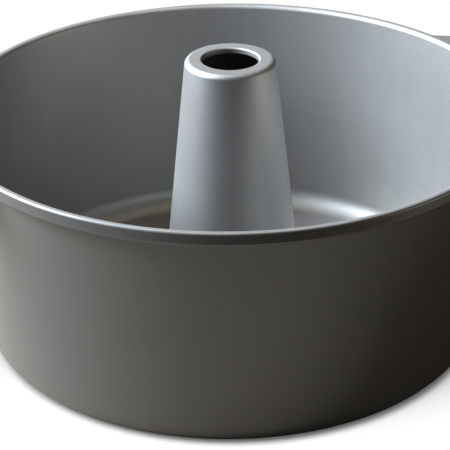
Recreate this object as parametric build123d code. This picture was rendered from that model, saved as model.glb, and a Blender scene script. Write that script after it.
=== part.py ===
"""Angel food cake pan: a drawn wall with a rolled rim and two handles, and a loose base plate with a hollow tube.

Each sheet piece is a section, drawn as radius and height, turned about Z. The table is at z = 0.
"""

import os
from math import atan2, cos, hypot, radians, sqrt, tan

from build123d import *

# Every piece is this thick, mm
sheet = 0.8

# Wall, mm: radii of the inside face's line, where it would meet the ledge and the rim's top
rim_height = 107.0
wall_foot_radius = 113.2
wall_top_radius = 122.5
floor_bend = 10.4
ledge_width = 8.0

# Rolled rim, mm
rim_outer_radius = 127.0
rim_bend = 2.0
rim_edge_bend = 1.2
rim_drop = 4.6
rim_leg = 3.3
rim_overlap = 0.5

# Handles, mm: the width is where their sides meet the rim
handle_width = 130.0
handle_reach = 22.0
handle_taper = 14.0  # degrees
handle_corner_bend = 14.0
handle_root_bend = 3.0

# Base plate, mm
plate_play = 0.3
plate_edge_bend = 0.3
boss_rise = 1.2
boss_slope = 3.0
boss_bend = 1.6
boss_margin = 2.0

# Centre tube, mm: the top radius is where its side's line would meet its flat top
tube_height = 127.5
tube_top_radius = 20.0
tube_lean = 6.1  # degrees
shoulder_bend = 2.0
mouth_radius = 12.7
lip_bend = 1.2
lip_depth = 4.0
bead_height = 2.6
bead_reach = 2.4
bead_bend = 1.2
foot_bend = 0.9
neck_inset = 1.6
neck_bend = 0.3
neck_play = 0.4
crimp_width = 4.8


def legs_between(corners):
    """Unit directions of the straight legs that join the corners."""
    return [(Vector(*end) - Vector(*start)).normalized() for start, end in zip(corners, corners[1:])]


def left_of(direction):
    """The direction turned a quarter turn to its left."""
    return Vector(-direction.Y, direction.X)


def turn_between(before, after):
    """Angle from one direction to the next, positive to the left."""
    return atan2(before.cross(after).Z, before.dot(after))


def turns_along(corners):
    """Angle of the turn at each inner corner."""
    legs = legs_between(corners)
    return [turn_between(before, after) for before, after in zip(legs, legs[1:])]


def setback(bend, turn):
    """Length of leg that a bend takes on each side of its corner."""
    return bend * tan(abs(turn) / 2)


def moved_right(corners, distance):
    """Corners of the same bent line, moved to its right by the distance."""
    legs = legs_between(corners)
    moved = [Vector(*corners[0]) - left_of(legs[0]) * distance]
    for corner, before, after in zip(corners[1:], legs, legs[1:]):
        middle = (left_of(before) + left_of(after)).normalized()
        moved.append(Vector(*corner) - middle * (distance / middle.dot(left_of(before))))
    moved.append(Vector(*corners[-1]) - left_of(legs[-1]) * distance)
    return [(point.X, point.Y) for point in moved]


def in_space(point):
    """The point in the XZ plane for a radius and height."""
    radius, height = tuple(point)[:2]
    return (radius, 0, height)


def bent_line(corners, bends):
    """Straight legs between the corners, joined by an arc of each corner's bend radius."""
    legs = legs_between(corners)
    edges = []
    reached = Vector(*corners[0])
    for corner, bend, before, after in zip(corners[1:], bends, legs, legs[1:]):
        turn = turn_between(before, after)
        length = setback(bend, turn)
        start = Vector(*corner) - before * length
        end = Vector(*corner) + after * length
        inward = (after - before).normalized()
        middle = Vector(*corner) + inward * (bend / cos(turn / 2) - bend)
        edges.append(Line(in_space(reached), in_space(start)))
        arc = [in_space(point) for point in (start, middle, end)]
        edges.append(ThreePointArc(*arc))
        reached = end
    edges.append(Line(in_space(reached), in_space(corners[-1])))
    return edges


def turned_sheet(corners, bends):
    """Sheet turned about Z. The corners and bends are those of its shown face, with the metal on its right."""
    back = moved_right(corners, sheet)
    back_bends = []
    for bend, turn in zip(bends, turns_along(corners)):
        back_bends.append(bend + sheet if turn > 0 else bend - sheet)
    ends = [Line(in_space(corners[0]), in_space(back[0])), Line(in_space(corners[-1]), in_space(back[-1]))]
    section = make_face(bent_line(corners, bends) + bent_line(back, back_bends) + ends)
    return revolve(section, axis=Axis.Z)


# Places that several pieces share
wall_line = [(0, sheet), (wall_foot_radius, sheet), (wall_top_radius, rim_height), (rim_outer_radius, rim_height)]
floor_turn, rim_turn = turns_along(wall_line)
floor_radius = wall_foot_radius - setback(floor_bend, floor_turn)
rim_flat_radius = wall_top_radius + setback(rim_bend, rim_turn)
floor_height = 2 * sheet
boss_height = floor_height + boss_rise
bead_top = boss_height + bead_height
tube_foot_radius = tube_top_radius + (tube_height - bead_top) * tan(radians(tube_lean))
neck_radius = tube_foot_radius - neck_inset


def handle_strip():
    """Plan of both handles, joined through the middle. Their sides lean in towards the outer edges."""
    handle_radius = rim_outer_radius + handle_reach
    root_x = sqrt(rim_outer_radius**2 - (handle_width / 2) ** 2)
    lean = tan(radians(handle_taper))
    middle_y = handle_width / 2 + root_x * lean
    outer_y = handle_width / 2 - (handle_radius - root_x) * lean
    ends = [(handle_radius, outer_y), (handle_radius, -outer_y), (-handle_radius, -outer_y), (-handle_radius, outer_y)]
    strip = Polygon((0, middle_y), *ends[:2], (0, -middle_y), *ends[2:], align=None)
    handles = Circle(handle_radius) & strip
    corners = handles.vertices().filter_by(
        lambda corner: abs(corner.X) > rim_outer_radius / 2 and abs(corner.Y) > outer_y / 2
    )
    return fillet(corners, handle_corner_bend)


def rim_outline():
    """Plan of the rim and both handles, as one closed shape."""
    outline = Circle(rim_outer_radius) + handle_strip()
    near_rim = rim_outer_radius + handle_root_bend
    roots = outline.vertices().filter_by(lambda corner: hypot(corner.X, corner.Y) < near_rim)
    return fillet(roots, handle_root_bend)


def slab(plan, low, high):
    """The plan as a solid from one height to another."""
    return Pos(0, 0, low) * extrude(plan, high - low)


def rim_flange():
    """Flat top of the rim and handles, with its edge turned down and curled back under."""
    outline = rim_outline()
    rim_foot = rim_height - rim_drop
    block = slab(outline, rim_foot, rim_height)
    block_edges = block.edges().group_by(Axis.Z)
    block = fillet(block_edges[0] + block_edges[-1], rim_edge_bend)
    hollow = slab(offset(outline, -sheet), rim_foot + sheet, rim_height - sheet)
    hollow_edges = hollow.edges().group_by(Axis.Z)
    hollow = fillet(hollow_edges[0] + hollow_edges[-1], rim_edge_bend - sheet)
    opening = slab(offset(outline, -rim_leg), 0, rim_height - sheet - rim_drop / 2)
    well = slab(Circle(rim_flat_radius + rim_overlap / 2), 0, 2 * rim_height)
    return block - hollow - opening - well


def pan_wall():
    """Ledge, wall and rim of one drawn sheet, with the handles in its rim."""
    corners = [
        (floor_radius - ledge_width, sheet),
        (wall_foot_radius, sheet),
        (wall_top_radius, rim_height),
        (rim_flat_radius + rim_overlap, rim_height),
    ]
    return turned_sheet(corners, [floor_bend, rim_bend]) + rim_flange()


def base_plate():
    """Loose floor that rests on the ledge, raised round the tube so that its crimp clears the table."""
    boss_radius = neck_radius + crimp_width + boss_margin
    corners = [
        (neck_radius + neck_play, boss_height),
        (boss_radius, boss_height),
        (boss_radius + boss_slope, floor_height),
        (floor_radius - plate_play, floor_height),
    ]
    plate = turned_sheet(corners, [boss_bend, boss_bend])
    outer_edges = plate.edges().filter_by(GeomType.CIRCLE).sort_by(SortBy.RADIUS)[-2:]
    return fillet(outer_edges.sort_by(Axis.Z)[-1], plate_edge_bend)


def centre_tube():
    """Hollow cone with a turned-in mouth, held in the plate between its bead and its crimped foot."""
    crimp_top = boss_height - sheet
    corners = [
        (mouth_radius, tube_height - lip_depth),
        (mouth_radius, tube_height),
        (tube_top_radius, tube_height),
        (tube_foot_radius, bead_top),
        (tube_foot_radius + bead_reach, bead_top),
        (tube_foot_radius + bead_reach, boss_height),
        (neck_radius, boss_height),
        (neck_radius, crimp_top),
        (neck_radius + crimp_width, crimp_top),
    ]
    bends = [lip_bend, shoulder_bend, foot_bend, bead_bend, bead_bend, neck_bend, neck_bend]
    return turned_sheet(corners, bends)


os.makedirs("parts", exist_ok=True)
for piece in (pan_wall, base_plate, centre_tube):
    export_step(piece(), f"parts/{piece.__name__}.step")
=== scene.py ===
"""Angel food cake pan in its two non-stick coats, on a white table.

Each piece is bent steel sheet. Its section is a closed loop of straight legs and bends, worked out from the
sizes below and carried once round the tube's axis. The rim and the handles take the same section along their
own plan outline.
"""

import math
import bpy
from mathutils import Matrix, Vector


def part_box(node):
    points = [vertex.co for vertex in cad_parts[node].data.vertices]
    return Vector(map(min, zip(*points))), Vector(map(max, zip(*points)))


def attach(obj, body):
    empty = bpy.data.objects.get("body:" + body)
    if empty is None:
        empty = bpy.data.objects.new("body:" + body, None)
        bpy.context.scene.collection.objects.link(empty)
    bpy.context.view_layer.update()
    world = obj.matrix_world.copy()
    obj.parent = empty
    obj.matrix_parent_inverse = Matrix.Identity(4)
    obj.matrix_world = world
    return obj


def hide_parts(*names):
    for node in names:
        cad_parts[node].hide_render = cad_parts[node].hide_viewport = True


bl_info = {
    "name": "Angel Food Cake Pan",
    "version": (1, 0, 0),
    "blender": (4, 5, 0),
    "location": "3D View > Sidebar > Cake Pan",
    "description": "Builds a two-piece angel food cake pan round its packed frame",
    "category": "Object",
}

import bpy
import numpy as np
from bpy.props import FloatProperty, FloatVectorProperty, IntProperty, PointerProperty
from mathutils import Matrix, Vector

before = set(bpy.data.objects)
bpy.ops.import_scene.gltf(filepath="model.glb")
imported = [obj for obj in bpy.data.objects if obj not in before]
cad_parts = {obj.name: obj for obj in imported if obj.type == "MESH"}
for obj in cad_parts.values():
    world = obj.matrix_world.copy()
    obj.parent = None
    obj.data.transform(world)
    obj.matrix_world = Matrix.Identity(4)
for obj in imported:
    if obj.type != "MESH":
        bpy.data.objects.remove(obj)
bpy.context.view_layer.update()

MM = 0.001
WALL_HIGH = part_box("pan_wall")[1]
TUBE_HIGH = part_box("centre_tube")[1]
RIM_RADIUS = 127.0 * MM

# Material slots of a piece: the coat of its shown face, and that of its back
SHOWN, HIDDEN = 0, 1

# Faces along each stretch of a quarter of the rim's plan outline
HANDLE_ARC_STEPS, CORNER_STEPS, SIDE_STEPS, ROOT_STEPS, RIM_ARC_STEPS = 44, 22, 8, 14, 90

# Bare steel, which standing bends lighten towards as wear and as a painted highlight, and what a bend adds to its
# coat's roughness at the most
STEEL_AND_SHEEN = (0.56, 0.55, 0.53, 1.0)
BEND_ROUGHNESS = 0.12

# Camera: side of its picture in pixels, and width of its sensor in mm
PHOTO_SIDE = 450
SENSOR_WIDTH = 36.0

# Stage, in metres and degrees
TABLE_HALF = 6.0
CARD_HOLE = 0.107
CARD_HEIGHT, CLOTH_HEIGHT = 0.0006, 0.0004
CARD_TINT = (1.12, 0.95, 0.76)
CARD_STEPS, CURTAIN_STEPS = 73, 40
ROOM_RADIUS = 1.25
CURTAIN_HIGH = 0.9
CURTAIN_START, CURTAIN_END = -150, 80
PAN_MIDDLE = (0, 0, 0.06)
SUN_SPREAD = 40


def length(name, description, default):
    """A length in metres that a user can change."""
    return FloatProperty(name=name, description=description, default=default, precision=5, unit="LENGTH")


def colour(name, description, default):
    """A linear colour that a user can change."""
    return FloatVectorProperty(
        name=name, description=description, default=default, size=3, subtype="COLOR", min=0, max=1
    )


def angle(name, description, default):
    """An angle in radians that a user can change."""
    return FloatProperty(name=name, description=description, default=default, subtype="ANGLE")


def number(name, description, default):
    """A plain number that a user can change."""
    return FloatProperty(name=name, description=description, default=default)


class PanSizes(bpy.types.PropertyGroup):
    """Sizes of the pan, in metres. Bends are radii of the shown face."""

    sheet: length("Sheet", "Thickness of the steel sheet", 0.8 * MM)
    cut_bend: length("Cut edge", "Rounding of the sheet's cut edges", 0.2 * MM)
    rim_height: length("Rim height", "Top of the rim above the table", WALL_HIGH[2])
    wall_foot: length("Wall foot", "Radius of the inside face where its line meets the ledge", 113.2 * MM)
    wall_top: length("Wall top", "Radius of the inside face where its line meets the rim's top", 122.5 * MM)
    floor_bend: length("Floor bend", "Corner between ledge and wall", 10.4 * MM)
    ledge_width: length("Ledge width", "Flat part of the ledge that carries the base plate", 8.0 * MM)
    rim_radius: length("Rim radius", "Outer radius of the rolled rim", RIM_RADIUS)
    rim_bend: length("Rim bend", "Bend from the wall to the rim's flat top", 2.3 * MM)
    rim_edge_bend: length("Rim edge bend", "Bend from the rim's flat top into its turned-down edge", 1.2 * MM)
    rim_foot_bend: length("Rim foot bend", "Bend at the foot of the rim's turned-down edge", 1.5 * MM)
    rim_drop: length("Rim drop", "Height of the rim's turned-down edge", 5.9 * MM)
    rim_flare: length("Rim flare", "How far the turned-down edge's foot stands out beyond its top", 0.85 * MM)
    rim_leg: length("Rim leg", "How far the edge curls back in under the rim", 3.3 * MM)
    handle_width: length("Handle width", "Width of each handle where its sides meet the rim", 130.0 * MM)
    handle_taper: angle("Handle taper", "Lean of a handle's sides", math.radians(14.0))
    handle_reach: length("Handle reach", "How far a handle stands out from the rim", WALL_HIGH[0] - RIM_RADIUS)
    handle_corner: length("Handle corner", "Outer corner radius of a handle in plan", 14.0 * MM)
    handle_root: length("Handle root", "Radius where a handle leaves the rim in plan", 3.0 * MM)
    plate_play: length("Plate play", "Gap between the plate's edge and the corner's bend", 0.3 * MM)
    boss_rise: length("Boss rise", "Height of the plate's boss over its floor", 1.2 * MM)
    boss_slope: length("Boss slope", "Width of the boss's slope", 3.0 * MM)
    boss_bend: length("Boss bend", "Bends of the boss's slope", 1.6 * MM)
    boss_margin: length("Boss margin", "Boss beyond the tube's crimp", 2.0 * MM)
    tube_height: length("Tube height", "Top of the tube above the table", TUBE_HIGH[2])
    tube_top: length("Tube top", "Radius where the tube's side would meet its flat top", 20.0 * MM)
    tube_lean: angle("Tube lean", "Angle of the tube's side", math.radians(6.1))
    shoulder_bend: length("Shoulder bend", "Bend between the tube's side and its flat top", 2.6 * MM)
    mouth: length("Mouth", "Radius of the tube's mouth", 12.7 * MM)
    lip_bend: length("Lip bend", "Bend from the flat top into the mouth", 0.9 * MM)
    lip_depth: length("Lip depth", "How far the lip turns down into the mouth", 2.6 * MM)
    bead_height: length("Bead height", "Height of the bead on the plate", 2.6 * MM)
    bead_reach: length("Bead reach", "How far the bead stands out from the tube", 2.4 * MM)
    bead_bend: length("Bead bend", "Bends of the bead's outer edge", 1.2 * MM)
    foot_bend: length("Foot bend", "Bend from the tube's side out onto the bead", 0.9 * MM)
    neck_inset: length("Neck inset", "How far the neck stands in from the tube's foot", 1.6 * MM)
    neck_bend: length("Neck bend", "Bends at the neck's two ends", 0.3 * MM)
    neck_play: length("Neck play", "Gap between the neck and the plate's hole", 0.4 * MM)
    crimp_width: length("Crimp width", "How far the crimp stands out under the plate", 4.8 * MM)
    bend_steps: IntProperty(name="Bend steps", description="Faces along each bend", default=6, min=2)
    turn_steps: IntProperty(name="Turn steps", description="Faces round each turned piece", default=480, min=24)


class PanCoats(bpy.types.PropertyGroup):
    """Colours and shine of the two coats."""

    silver: colour("Silver coat", "Coat of the inside, the rim's top and the tube", (0.304, 0.2965, 0.284))
    charcoal: colour("Charcoal coat", "Coat of the outside", (0.0715, 0.0663, 0.0597))
    silver_rough: number("Silver roughness", "Roughness of the silver coat", 0.45)
    silver_metal: number("Silver metallic", "How metallic the silver coat is", 0.72)
    silver_gloss: number("Silver gloss", "Specular level of the silver coat", 0.43)
    # Steel colour on the silver coat's standing bends: partly wear, partly a painted highlight
    silver_wear_and_sheen: number("Silver wear", "How much steel shows on the silver coat's bends", 0.2)
    charcoal_rough: number("Charcoal roughness", "Roughness of the charcoal coat", 0.34)
    charcoal_metal: number("Charcoal metallic", "How metallic the charcoal coat is", 0.05)
    charcoal_gloss: number("Charcoal gloss", "Specular level of the charcoal coat", 1.0)
    # Steel colour on the charcoal coat's standing bends: partly wear, partly a painted highlight
    charcoal_wear_and_sheen: number("Charcoal wear", "How much steel shows on the charcoal coat's bends", 0.05)


class PanStudio(bpy.types.PropertyGroup):
    """Camera, lamps and table."""

    camera_back: length("Camera back", "How far the camera stands in front of the tube's axis", 700.4 * MM)
    camera_height: length("Camera height", "Height of the camera above the table", 410.3 * MM)
    camera_pitch: angle("Pitch", "How far the camera looks down", 0.4807)
    camera_yaw: angle("Yaw", "How far the camera looks right", 0.0117)
    camera_roll: angle("Roll", "How far the camera tilts", -0.0064)
    focal_pixels: number("Focal length", "Focal length in the photo's pixels", 1713.1)
    centre_pixels: number("Centre", "Pixel column that the camera's axis meets", 250.0)
    turn: angle("Turn", "How far the camera and the lamps stand round the pan", math.radians(-8.0))
    key_power: number("Key power", "Soft box at the left, in watts", 73.5)
    back_power: number("Back power", "Weak soft box behind, in watts", 0.95)
    right_power: number("Right power", "Weak soft box at the right, in watts", 3.1)
    top_power: number("Top power", "Weak soft box overhead, in watts", 3.5)
    table_sun: number("Table sun", "Strength of the lamp that lights the table", 3.5)
    table_fill: number("Table fill", "Strength of the light in the pan's shadow", 0.45)
    ambient: number("Ambient", "Strength of the room's light, which is off at 0", 0.0)
    card_shade: number("Card shade", "Shade of the card round the pan", 0.236)
    card_radius: length("Card radius", "Radius of the card", 407.0 * MM)
    card_left: length("Card offset", "How far the card's middle lies to the left of the pan", 76.0 * MM)


def legs_between(corners):
    """Unit directions of the straight legs of a closed loop, one from each corner to the next."""
    steps = np.roll(corners, -1, axis=0) - corners
    return steps / np.linalg.norm(steps, axis=1, keepdims=True)


def left_of(directions):
    """Directions turned a quarter turn to their left."""
    return np.stack([-directions[..., 1], directions[..., 0]], axis=-1)


def bent_loop(corners, bends, steps):
    """Points, outward normals and bend weights of a closed loop of legs and bends, run with the metal on its right.

    A bend of radius r that turns by t starts r tan(t / 2) before its corner. From there its normal turns evenly
    through t, and its points lie at the bend's centre plus or minus r times that normal. The bend weight rises as a
    half sine wave over each bend that turns to the right, which stands out, and falls below zero likewise over a
    hollow one.
    It makes every bend rougher, and lightens standing bends towards steel: partly wear, partly a painted highlight.
    """
    corners, bends = np.array(corners, float), np.array(bends, float)
    after = legs_between(corners)
    before = np.roll(after, 1, axis=0)
    cross = before[:, 0] * after[:, 1] - before[:, 1] * after[:, 0]
    turn = np.arctan2(cross, np.sum(before * after, axis=1))
    start = corners - before * (bends * np.tan(np.abs(turn) / 2))[:, None]
    side = np.sign(turn)[:, None]
    centre = start + left_of(before) * side * bends[:, None]
    first = np.arctan2(left_of(before)[:, 1], left_of(before)[:, 0])
    share = np.linspace(0, 1, steps + 1)
    heading = first[:, None] + turn[:, None] * share[None, :]
    normals = np.stack([np.cos(heading), np.sin(heading)], axis=-1)
    points = centre[:, None, :] - normals * (side * bends[:, None])[:, :, None]
    bend_sheen_and_wear = np.outer(-np.sign(turn), np.sin(np.pi * share))
    return points.reshape(-1, 2), normals.reshape(-1, 2), bend_sheen_and_wear.reshape(-1)


def moved_right(corners, distance):
    """Corners of an open bent line, moved to its right: each leg moves along its normal and meets the next again."""
    corners = np.array(corners, float)
    legs = corners[1:] - corners[:-1]
    sides = left_of(legs / np.linalg.norm(legs, axis=1, keepdims=True))
    sides = np.concatenate([sides[:1], sides, sides[-1:]])
    middle = sides[1:] + sides[:-1]
    middle /= np.linalg.norm(middle, axis=1, keepdims=True)
    return corners - middle * (distance / np.sum(middle * sides[1:], axis=1))[:, None]


def sheet_loop(sizes, corners, bends):
    """Closed section of a sheet from its shown face's corners and bends, its bend weights and which points it shows.
    """
    corners = np.array(corners, float)
    legs = corners[1:] - corners[:-1]
    cross = legs[:-1, 0] * legs[1:, 1] - legs[:-1, 1] * legs[1:, 0]
    back_bends = np.array(bends) + np.sign(cross) * sizes.sheet
    back = moved_right(corners, sizes.sheet)[::-1]
    cut = [sizes.cut_bend]
    loop = np.concatenate([corners, back])
    loop_bends = np.concatenate([cut, bends, cut, cut, back_bends[::-1], cut])
    points, normals, bend_sheen_and_wear = bent_loop(loop, loop_bends, sizes.bend_steps)
    per_corner = sizes.bend_steps + 1
    shown = np.arange(len(points)) < len(corners) * per_corner
    return points, normals, bend_sheen_and_wear, shown


def closed_grid(name, places, normals, bend_sheen_and_wear, shown, materials):
    """Mesh object from a grid of places that closes both ways: rows along the section, columns round the piece."""
    rows, columns = places.shape[:2]
    here = np.arange(rows * columns).reshape(rows, columns)
    on = np.roll(here, -1, axis=0)
    quads = np.stack([here, on, np.roll(on, -1, axis=1), np.roll(here, -1, axis=1)], axis=-1).reshape(-1, 4)
    mesh = bpy.data.meshes.new(name)
    mesh.vertices.add(rows * columns)
    mesh.vertices.foreach_set("co", places.reshape(-1).astype(np.float32))
    mesh.loops.add(quads.size)
    mesh.loops.foreach_set("vertex_index", quads.reshape(-1).astype(np.int32))
    mesh.polygons.add(len(quads))
    mesh.polygons.foreach_set("loop_start", np.arange(0, quads.size, 4, dtype=np.int32))
    for material in materials:
        mesh.materials.append(material)
    both_shown = shown & np.roll(shown, -1)
    which = np.where(np.repeat(both_shown, columns), SHOWN, HIDDEN)
    mesh.polygons.foreach_set("material_index", which.astype(np.int32))
    mesh.polygons.foreach_set("use_smooth", np.ones(len(quads), dtype=bool))
    mesh.update(calc_edges=True)
    mesh.validate()
    # Bend weights: they roughen every bend and lighten standing bends towards steel, as wear and as a painted
    # highlight
    wear_and_sheen = mesh.attributes.new("worn_edge", "FLOAT", "POINT")
    wear_and_sheen.data.foreach_set("value", np.repeat(bend_sheen_and_wear, columns).astype(np.float32))
    mesh.normals_split_custom_set_from_vertices(normals.reshape(-1, 3).astype(np.float32))
    piece = bpy.data.objects.new(name, mesh)
    bpy.context.scene.collection.objects.link(piece)
    return piece


def turned_piece(name, sizes, corners, bends, materials):
    """Section turned once about Z: radius r and height z go to (r cos a, r sin a, z) for each angle a."""
    points, flat_normals, bend_sheen_and_wear, shown = sheet_loop(sizes, corners, bends)
    turned = np.linspace(0, 2 * np.pi, sizes.turn_steps, endpoint=False)
    spokes = np.stack([np.cos(turned), np.sin(turned), np.ones_like(turned)], axis=-1)

    def carried(pairs):
        return spokes[None] * pairs[:, [0, 0, 1]][:, None, :]

    return closed_grid(name, carried(points), carried(flat_normals), bend_sheen_and_wear, shown, materials)


def floor_flat(sizes):
    """Radius where the ledge's flat top ends and the corner's bend starts."""
    lean = math.atan2(sizes.rim_height - sizes.sheet, sizes.wall_top - sizes.wall_foot)
    return sizes.wall_foot - sizes.floor_bend * math.tan(lean / 2)


def boss_top(sizes):
    """Height of the top of the plate's boss."""
    return 2 * sizes.sheet + sizes.boss_rise


def tube_foot(sizes):
    """Radius and height where the tube's side meets the top of its bead."""
    height = boss_top(sizes) + sizes.bead_height
    return sizes.tube_top + (sizes.tube_height - height) * math.tan(sizes.tube_lean), height


def arc(centre, radius, start, end, count, outward=1):
    """Points and normals of a plan arc. Its end is left out, for the next stretch to start there."""
    turned = np.linspace(start, end, count, endpoint=False)
    spokes = np.stack([np.cos(turned), np.sin(turned)], axis=-1)
    return np.array(centre) + spokes * radius, spokes * outward


def rim_plan(sizes):
    """Points and outward normals of the rim's plan outline, with both handles, anticlockwise from +X.

    A quarter is the handle's outer arc, its corner arc, its straight side, the hollow arc at its root, and the
    rim's own arc. The other quarters mirror it. The side's line stands a fixed distance from the tube's axis, and
    the centre of an arc that touches it lies at that distance less or plus the arc's radius.
    """
    taper, quarter = sizes.handle_taper, math.pi / 2
    handle_radius = sizes.rim_radius + sizes.handle_reach
    across = np.array([math.sin(taper), math.cos(taper)])
    along = np.array([math.cos(taper), -math.sin(taper)])
    line = sizes.rim_radius * math.sin(math.asin(sizes.handle_width / 2 / sizes.rim_radius) + taper)

    def touching(off_line, off_axis):
        return across * off_line + along * math.sqrt(off_axis**2 - off_line**2)

    corner = touching(line - sizes.handle_corner, handle_radius - sizes.handle_corner)
    root = touching(line + sizes.handle_root, sizes.rim_radius + sizes.handle_root)
    corner_angle, root_angle = math.atan2(corner[1], corner[0]), math.atan2(root[1], root[0])
    side_share = np.linspace(0, 1, SIDE_STEPS, endpoint=False)[:, None]
    side_start, side_end = corner + across * sizes.handle_corner, root - across * sizes.handle_root
    side = side_start * (1 - side_share) + side_end * side_share
    stretches = [
        arc((0, 0), handle_radius, 0, corner_angle, HANDLE_ARC_STEPS),
        arc(corner, sizes.handle_corner, corner_angle, quarter - taper, CORNER_STEPS),
        (side, np.tile(across, (len(side), 1))),
        arc(root, sizes.handle_root, 3 * quarter - taper, root_angle + 2 * quarter, ROOT_STEPS, outward=-1),
        arc((0, 0), sizes.rim_radius, root_angle, quarter, RIM_ARC_STEPS),
        (np.array([[0, sizes.rim_radius]]), np.array([[0.0, 1.0]])),
    ]
    points = np.concatenate([stretch[0] for stretch in stretches])
    normals = np.concatenate([stretch[1] for stretch in stretches])
    mirror = np.array([-1.0, 1.0])
    half_points = np.concatenate([points, points[-2::-1] * mirror])
    half_normals = np.concatenate([normals, normals[-2::-1] * mirror])
    whole_points = np.concatenate([half_points, -half_points[1:-1]])
    return whole_points, np.concatenate([half_normals, -half_normals[1:-1]])


def wall_piece(name, sizes, materials):
    """Wall, rim and handles. The section's wall corners turn about Z, at the angle of the outline's point.

    Its rim corners keep their distance from the rim's radius, and are laid off along the outline's normal. The
    silver coat ends a third of the way round the bend at the rim's outer edge.
    """
    rim_foot = sizes.rim_height - sizes.rim_drop
    corners = [
        (floor_flat(sizes) - sizes.ledge_width, sizes.sheet),
        (sizes.wall_foot, sizes.sheet),
        (sizes.wall_top, sizes.rim_height),
        (sizes.rim_radius - sizes.rim_flare, sizes.rim_height),
        (sizes.rim_radius, rim_foot),
        (sizes.rim_radius - sizes.rim_leg, rim_foot),
    ]
    bends = [sizes.floor_bend, sizes.rim_bend, sizes.rim_edge_bend, sizes.rim_foot_bend]
    points, flat_normals, bend_sheen_and_wear, _ = sheet_loop(sizes, corners, bends)
    per_corner = sizes.bend_steps + 1
    wall_corners = 3
    corner_of_row = np.arange(len(points)) // per_corner
    on_wall = (corner_of_row < wall_corners) | (corner_of_row >= 2 * len(corners) - wall_corners)
    outline, outward = rim_plan(sizes)
    spokes = outline / np.linalg.norm(outline, axis=1, keepdims=True)
    radius, height = points[:, 0][:, None, None], points[:, 1]
    from_wall = spokes[None] * radius
    from_rim = outline[None] + outward[None] * (radius - sizes.rim_radius)
    plan = np.where(on_wall[:, None, None], from_wall, from_rim)
    towards = np.where(on_wall[:, None, None], spokes[None], outward[None]) * flat_normals[:, 0][:, None, None]
    level = np.ones(len(outline))
    places = np.concatenate([plan, np.outer(height, level)[..., None]], axis=-1)
    normals = np.concatenate([towards, np.outer(flat_normals[:, 1], level)[..., None]], axis=-1)
    silver_rows = wall_corners * per_corner + sizes.bend_steps // 3 + 1
    return closed_grid(name, places, normals, bend_sheen_and_wear, np.arange(len(points)) < silver_rows, materials)


def node_tree(material):
    """Empty node tree of the material, with a function that adds a node and sets its values."""
    material.use_nodes = True
    tree = material.node_tree
    tree.nodes.clear()

    def add(kind, inputs=None, **settings):
        node = tree.nodes.new(kind)
        for key, value in settings.items():
            setattr(node, key, value)
        for key, value in (inputs or {}).items():
            if isinstance(value, bpy.types.NodeSocket):
                tree.links.new(value, node.inputs[key])
            else:
                node.inputs[key].default_value = value
        return node

    return add


def coat(name, base, roughness, metallic, gloss, wear_and_sheen):
    """Satin coat with soft clouds, faint upright streaks from the drawing of the sheet, fine flakes, and the slight
    waviness of a sprayed film. Every bend is rougher, and along those that stand out the colour lightens towards
    bare steel, partly as wear and partly as a painted highlight.
    """
    material = bpy.data.materials.new(name)
    add = node_tree(material)
    place = add("ShaderNodeTexCoord").outputs["Object"]

    def noise(scale, detail, stretch=(1.0, 1.0, 1.0)):
        spread = add("ShaderNodeVectorMath", {0: place, 1: stretch}, operation="MULTIPLY").outputs[0]
        return add("ShaderNodeTexNoise", {"Vector": spread, "Scale": scale, "Detail": detail}).outputs["Fac"]

    def ranged(value, low, high, to_low, to_high):
        limits = {"Value": value, "From Min": low, "From Max": high, "To Min": to_low, "To Max": to_high}
        return add("ShaderNodeMapRange", limits).outputs[0]

    def joined(first, second, operation):
        return add("ShaderNodeMath", {0: first, 1: second}, operation=operation).outputs[0]

    # A noise of scale s has features about 1 / s metres wide: clouds of 45 mm, flakes of half a millimetre
    clouds = ranged(noise(22.0, 4.0), 0.3, 0.7, 0.965, 1.035)
    streaks = ranged(noise(150.0, 3.0, (1.0, 1.0, 0.06)), 0.3, 0.7, 0.975, 1.025)
    flakes = ranged(noise(1900.0, 1.0), 0.25, 0.75, 0.93, 1.07)
    tone = joined(joined(clouds, streaks, "MULTIPLY"), flakes, "MULTIPLY")
    shade = add("ShaderNodeVectorMath", {0: tuple(base), "Scale": tone}, operation="SCALE").outputs[0]
    # On bends that stand out the coat lightens towards bare steel in patches: partly wear, partly a painted
    # highlight along the bends
    edge = add("ShaderNodeAttribute", attribute_name="worn_edge").outputs["Fac"]
    standing = joined(edge, 0.0, "MAXIMUM")
    patches = ranged(noise(90.0, 5.0), 0.42, 0.62, 0.25, 1.0)
    bend_sheen_and_wear = joined(joined(standing, patches, "MULTIPLY"), wear_and_sheen, "MULTIPLY")
    colour_mix = add("ShaderNodeMix", {0: bend_sheen_and_wear, 6: shade, 7: STEEL_AND_SHEEN}, data_type="RGBA").outputs[2]
    satin = ranged(joined(clouds, flakes, "MULTIPLY"), 0.9, 1.1, roughness - 0.03, roughness + 0.03)
    bent = add("ShaderNodeMath", {0: edge}, operation="ABSOLUTE").outputs[0]
    rough = joined(satin, joined(bent, BEND_ROUGHNESS, "MULTIPLY"), "ADD")
    film = joined(noise(420.0, 2.0), joined(noise(1900.0, 1.0), 0.15, "MULTIPLY"), "ADD")
    bump = add("ShaderNodeBump", {"Height": film, "Strength": 0.15, "Distance": 0.00002}).outputs[0]
    shader = add(
        "ShaderNodeBsdfPrincipled",
        {
            "Base Color": colour_mix, "Roughness": rough, "Normal": bump,
            "Metallic": metallic, "Specular IOR Level": gloss,
        },
    )
    add("ShaderNodeOutputMaterial", {"Surface": shader.outputs[0]})
    return material


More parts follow.
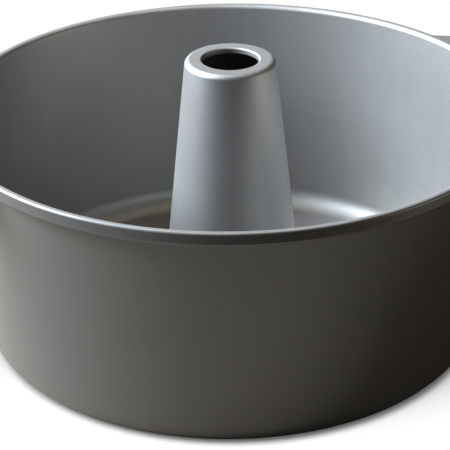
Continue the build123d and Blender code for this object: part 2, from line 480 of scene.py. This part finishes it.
def coats():
    """The silver and the charcoal coat, made once."""
    looks = bpy.context.scene.pan_coats
    made = []
    for kind in ("silver", "charcoal"):
        name = f"{kind}_coat"
        values = [getattr(looks, f"{kind}_{trait}") for trait in ("rough", "metal", "gloss", "wear_and_sheen")]
        made.append(bpy.data.materials.get(name) or coat(name, getattr(looks, kind), *values))
    return made


def settle(piece, body, node):
    """The piece stands in for its CAD node, which it hides, and rides on its body."""
    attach(piece, body)
    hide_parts(node)


class PAN_OT_wall(bpy.types.Operator):
    """Build the wall with its ledge, rolled rim and handles"""

    bl_idname = "pan.wall"
    bl_label = "Wall and Rim"

    def execute(self, context):
        piece = wall_piece("wall_and_rim", context.scene.pan_sizes, coats())
        settle(piece, "pan", "pan_wall")
        return {"FINISHED"}


class PAN_OT_plate(bpy.types.Operator):
    """Build the loose base plate with its boss"""

    bl_idname = "pan.plate"
    bl_label = "Base Plate"

    def execute(self, context):
        sizes = context.scene.pan_sizes
        neck = tube_foot(sizes)[0] - sizes.neck_inset
        boss = neck + sizes.crimp_width + sizes.boss_margin
        floor = 2 * sizes.sheet
        corners = [
            (neck + sizes.neck_play, boss_top(sizes)),
            (boss, boss_top(sizes)),
            (boss + sizes.boss_slope, floor),
            (floor_flat(sizes) - sizes.plate_play, floor),
        ]
        piece = turned_piece("loose_base", sizes, corners, [sizes.boss_bend, sizes.boss_bend], coats())
        settle(piece, "base", "base_plate")
        return {"FINISHED"}


class PAN_OT_tube(bpy.types.Operator):
    """Build the centre tube, from its turned-in lip to the crimp under the plate"""

    bl_idname = "pan.tube"
    bl_label = "Centre Tube"

    def execute(self, context):
        sizes = context.scene.pan_sizes
        foot, bead_top = tube_foot(sizes)
        neck = foot - sizes.neck_inset
        plate_top = boss_top(sizes)
        crimp_top = plate_top - sizes.sheet
        corners = [
            (sizes.mouth, sizes.tube_height - sizes.lip_depth),
            (sizes.mouth, sizes.tube_height),
            (sizes.tube_top, sizes.tube_height),
            (foot, bead_top),
            (foot + sizes.bead_reach, bead_top),
            (foot + sizes.bead_reach, plate_top),
            (neck, plate_top),
            (neck, crimp_top),
            (neck + sizes.crimp_width, crimp_top),
        ]
        bends = [sizes.lip_bend, sizes.shoulder_bend, sizes.foot_bend, sizes.bead_bend, sizes.bead_bend]
        bends += [sizes.neck_bend, sizes.neck_bend]
        piece = turned_piece("tall_tube", sizes, corners, bends, coats())
        settle(piece, "base", "centre_tube")
        return {"FINISHED"}


def camera_axes(studio):
    """Right, up and forward of the camera from its pitch, yaw and roll."""
    pitch, yaw, roll = studio.camera_pitch, studio.camera_yaw, studio.camera_roll
    forward = Vector((math.sin(yaw) * math.cos(pitch), math.cos(yaw) * math.cos(pitch), -math.sin(pitch)))
    level = Vector((math.cos(yaw), -math.sin(yaw), 0))
    upright = level.cross(forward)
    right = level * math.cos(roll) + upright * math.sin(roll)
    up = upright * math.cos(roll) - level * math.sin(roll)
    return right, up, forward


def hold(name, data, studio, place, aim=(0, 0, 0)):
    """Lamp at its place, faced to its aim. Both are given as the camera sees them, and turn with it."""
    turn = Matrix.Rotation(studio.turn, 3, "Z")
    held = bpy.data.objects.new(name, data)
    held.location = turn @ Vector(place)
    held.rotation_euler = (turn @ (Vector(aim) - Vector(place))).to_track_quat("-Z", "Y").to_euler()
    bpy.context.scene.collection.objects.link(held)
    return held


def soft_box(name, studio, place, size, watts, tint):
    """Rectangular lamp of one colour, faced to the middle of the pan."""
    lamp = bpy.data.lights.new(name, "AREA")
    lamp.shape = "RECTANGLE"
    lamp.size, lamp.size_y = size
    lamp.energy = watts
    lamp.color = tint
    return hold(name, lamp, studio, place, PAN_MIDDLE)


def lights_only(lamp, name, pieces):
    """The lamp lights these pieces and nothing else."""
    group = bpy.data.collections.new(name)
    for piece in pieces:
        group.objects.link(piece)
    lamp.light_linking.receiver_collection = group


def stage_piece(name, corners, faces, material):
    """Piece of the stage, from its corners and faces."""
    mesh = bpy.data.meshes.new(name)
    mesh.from_pydata(corners, [], faces)
    mesh.update()
    mesh.materials.append(material)
    held = bpy.data.objects.new(name, mesh)
    bpy.context.scene.collection.objects.link(held)
    return held


def plain_material(name, shade):
    """Matt material of one plain colour."""
    material = bpy.data.materials.new(name)
    add = node_tree(material)
    shader = add("ShaderNodeBsdfDiffuse", {"Color": (*shade, 1.0)})
    add("ShaderNodeOutputMaterial", {"Surface": shader.outputs[0]})
    return material


def ring(inner, outer, left, count, height):
    """Corners and faces of a flat ring: r (cos a, sin a) for both radii at each angle, the outer one moved left."""
    turned = np.linspace(0, 2 * np.pi, count)
    spokes = np.stack([np.cos(turned), np.sin(turned)], axis=-1)
    flat = np.concatenate([spokes * inner, spokes * outer - np.array([left, 0])])
    corners = np.concatenate([flat, np.full((2 * count, 1), height)], axis=1)
    first = np.arange(count - 1)
    faces = np.stack([first, first + count, first + count + 1, first + 1], axis=-1)
    return corners.tolist(), faces.tolist()


def room(studio):
    """Backdrop for rays that look at it, white low down and as dim as the room higher up.

    Other rays meet the room's own light, which is warm.
    """
    world = bpy.data.worlds.new("room")
    add = node_tree(world)
    path = add("ShaderNodeLightPath").outputs
    seen = path["Is Camera Ray"]
    for kind in ("Is Glossy Ray", "Is Transmission Ray"):
        seen = add("ShaderNodeMath", {0: seen, 1: path[kind]}, operation="MAXIMUM").outputs[0]
    level = add("ShaderNodeSeparateXYZ", {0: add("ShaderNodeTexCoord").outputs["Generated"]}).outputs["Z"]
    limits = {"Value": level, "From Min": 0.15, "From Max": 0.45}
    high = add("ShaderNodeMapRange", limits, interpolation_type="SMOOTHSTEP")
    white = add("ShaderNodeBackground", {"Color": (1.0, 1.0, 1.0, 1.0), "Strength": 1.0})
    dim = add("ShaderNodeBackground", {"Color": (1.0, 0.88, 0.75, 1.0), "Strength": studio.ambient})
    backdrop = add("ShaderNodeMixShader", {0: high.outputs[0], 1: white.outputs[0], 2: dim.outputs[0]})
    mix = add("ShaderNodeMixShader", {0: seen, 1: dim.outputs[0], 2: backdrop.outputs[0]})
    add("ShaderNodeOutputWorld", {"Surface": mix.outputs[0]})
    return world


def curtain_sector(radius, high, start, end, count):
    """Corners and faces of an upright ring sector from one angle to another, in degrees.

    They lie at (r cos a, r sin a, z) for each angle a, with z at the table and at the sector's top.
    """
    turned = np.radians(np.linspace(start, end, count))
    foot = np.stack([np.cos(turned) * radius, np.sin(turned) * radius, np.zeros(count)], axis=-1)
    corners = np.concatenate([foot, foot + np.array([0, 0, high])])
    first = np.arange(count - 1)
    faces = np.stack([first, first + 1, first + count + 1, first + count], axis=-1)
    return corners.tolist(), faces.tolist()


class PAN_OT_studio(bpy.types.Operator):
    """Set up the table, the lamps, the room and the camera"""

    bl_idname = "pan.studio"
    bl_label = "Studio"

    def execute(self, context):
        scene, studio = context.scene, context.scene.pan_studio
        scene.view_settings.view_transform = "Standard"
        pan = [piece for piece in scene.objects if piece.type == "MESH"]

        lens = bpy.data.cameras.new("photo_camera")
        lens.sensor_width = SENSOR_WIDTH
        lens.lens = studio.focal_pixels / PHOTO_SIDE * lens.sensor_width
        lens.shift_x = (PHOTO_SIDE / 2 - studio.centre_pixels) / PHOTO_SIDE
        camera = bpy.data.objects.new("photo_camera", lens)
        right, up, forward = camera_axes(studio)
        turn = Matrix((right, up, -forward)).transposed().to_4x4()
        stand = Matrix.Translation((0, -studio.camera_back, studio.camera_height))
        camera.matrix_world = Matrix.Rotation(studio.turn, 4, "Z") @ stand @ turn
        scene.collection.objects.link(camera)
        scene.camera = camera

        corners = [(x * TABLE_HALF, y * TABLE_HALF, 0) for x, y in ((-1, -1), (1, -1), (1, 1), (-1, 1))]
        white = plain_material("white_table", (0.92, 0.92, 0.92))
        table = stage_piece("white_table", corners, [(0, 1, 2, 3)], white)
        card_colour = plain_material("card", [studio.card_shade * part for part in CARD_TINT])
        card_ring = ring(CARD_HOLE, studio.card_radius, studio.card_left, CARD_STEPS, CARD_HEIGHT)
        card = stage_piece("card", *card_ring, card_colour)
        dark = plain_material("dark_cloth", (0.01, 0.01, 0.01))
        hung = curtain_sector(ROOM_RADIUS, CURTAIN_HIGH, CURTAIN_START, CURTAIN_END, CURTAIN_STEPS)
        curtain = stage_piece("curtain", *hung, dark)
        cloth = stage_piece("cloth", *ring(CARD_HOLE, ROOM_RADIUS, 0.0, CARD_STEPS, CLOTH_HEIGHT), dark)
        for held in (card, curtain, cloth):
            held.rotation_euler.z = studio.turn
            held.visible_camera = held.visible_shadow = held.visible_transmission = False

        # Each box's place and size in metres, its power, its tint and the pieces that it lights
        boxes = {
            "key": ((-0.935, 0.158, 0.71), (0.745, 0.583), studio.key_power, (0.88, 1.0, 1.14), [*pan, card]),
            "right": ((1.153, -0.314, 0.165), (0.6, 0.5), studio.right_power, (1.05, 1.0, 0.9), pan),
            "back": ((0.0, 1.219, 0.512), (1.2, 0.5), studio.back_power, (1.0, 1.0, 1.0), pan),
            "top": ((0.0, 0.1, 1.3), (0.8, 0.8), studio.top_power, (1.15, 1.0, 0.82), pan),
        }
        for name, (place, size, watts, tint, lit) in boxes.items():
            lights_only(soft_box(f"{name}_box", studio, place, size, watts, tint), f"lit_by_{name}", lit)
        sun = bpy.data.lights.new("table_sun", "SUN")
        sun.energy = studio.table_sun
        sun.angle = math.radians(SUN_SPREAD)
        lights_only(hold("table_sun", sun, studio, (-0.25, -0.6, 1.1)), "lit_by_sun", [table])
        fill = bpy.data.lights.new("table_fill", "SUN")
        fill.energy = studio.table_fill
        fill.use_shadow = False
        lights_only(hold("table_fill", fill, studio, (0.0, 0.0, 1.0)), "lit_by_fill", [table])
        scene.world = room(studio)
        return {"FINISHED"}


class PAN_PT_sidebar(bpy.types.Panel):
    """Sidebar panel that lists the pan's pieces"""

    bl_idname = "PAN_PT_sidebar"
    bl_label = "Cake Pan"
    bl_space_type = "VIEW_3D"
    bl_region_type = "UI"
    bl_category = "Cake Pan"

    def draw(self, context):
        for operator in OPERATORS:
            self.layout.operator(operator.bl_idname)


OPERATORS = (PAN_OT_wall, PAN_OT_plate, PAN_OT_tube, PAN_OT_studio)
SETTINGS = {"pan_sizes": PanSizes, "pan_coats": PanCoats, "pan_studio": PanStudio}


def register():
    for made in (*SETTINGS.values(), *OPERATORS, PAN_PT_sidebar):
        bpy.utils.register_class(made)
    for name, group in SETTINGS.items():
        setattr(bpy.types.Scene, name, PointerProperty(type=group))


def unregister():
    for name in SETTINGS:
        delattr(bpy.types.Scene, name)
    for made in (PAN_PT_sidebar, *reversed(OPERATORS), *SETTINGS.values()):
        bpy.utils.unregister_class(made)


def main():
    """Builds everything in order."""
    register()
    bpy.ops.pan.wall()
    bpy.ops.pan.plate()
    bpy.ops.pan.tube()
    bpy.ops.pan.studio()


if __name__ == "__main__":
    main()
